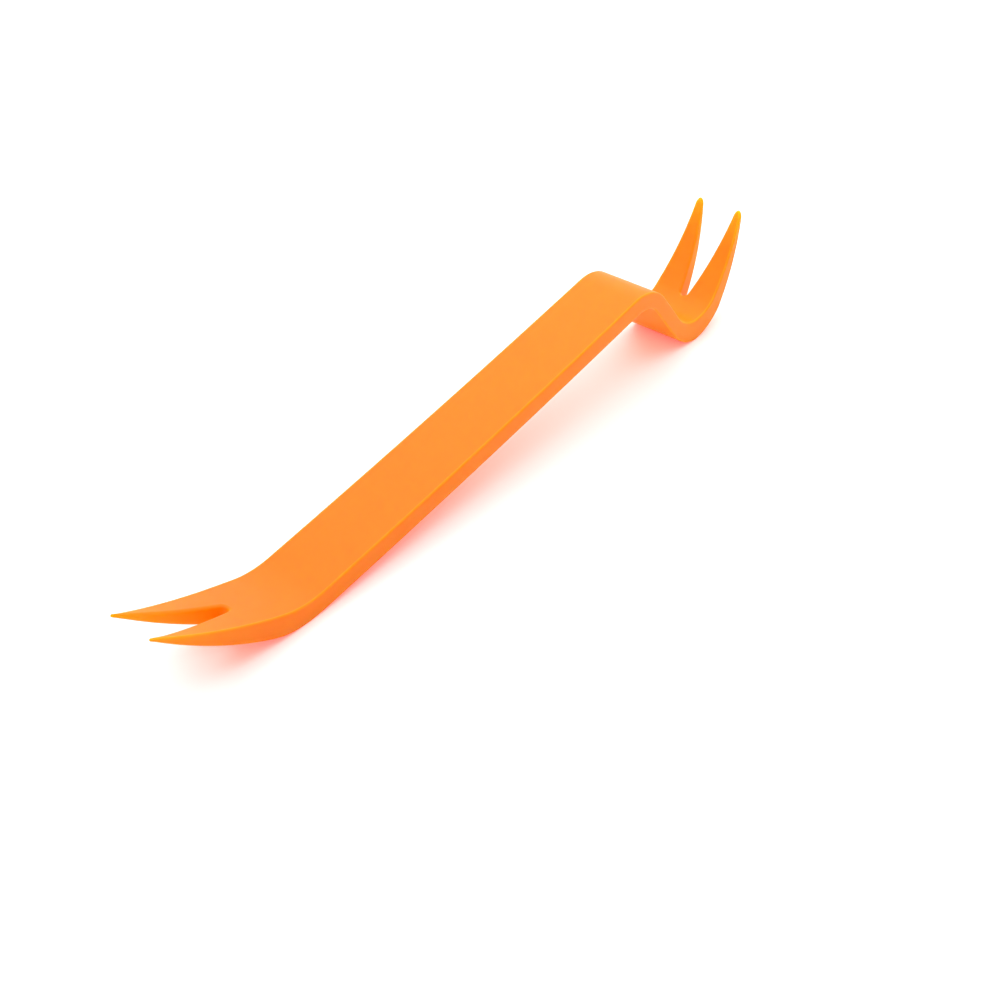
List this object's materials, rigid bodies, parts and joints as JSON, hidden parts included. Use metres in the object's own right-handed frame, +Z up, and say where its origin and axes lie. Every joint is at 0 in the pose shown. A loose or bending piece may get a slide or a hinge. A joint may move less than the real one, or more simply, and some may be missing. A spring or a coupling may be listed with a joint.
{
  "type": "trim removal tool",
  "caption": "Long flat moulded plastic pry bar with a shallow raised fork at one end and a deep hooked fork at the other, for levering out trim panels and their push-in clips.",
  "frame": {"origin": "middle of the tool's length and width, on the surface that it lies on", "axes": "+X along the length towards the hooked fork, +Y across the width, +Z up as it lies on its two heels"},
  "size_m": [0.235, 0.02, 0.0326],
  "materials": {
    "orange_plastic": "satin moulded, slightly translucent at the thin tips"
  },
  "bodies": {
    "root": {"pry_bar": "orange_plastic"}
  },
  "joints": []
}
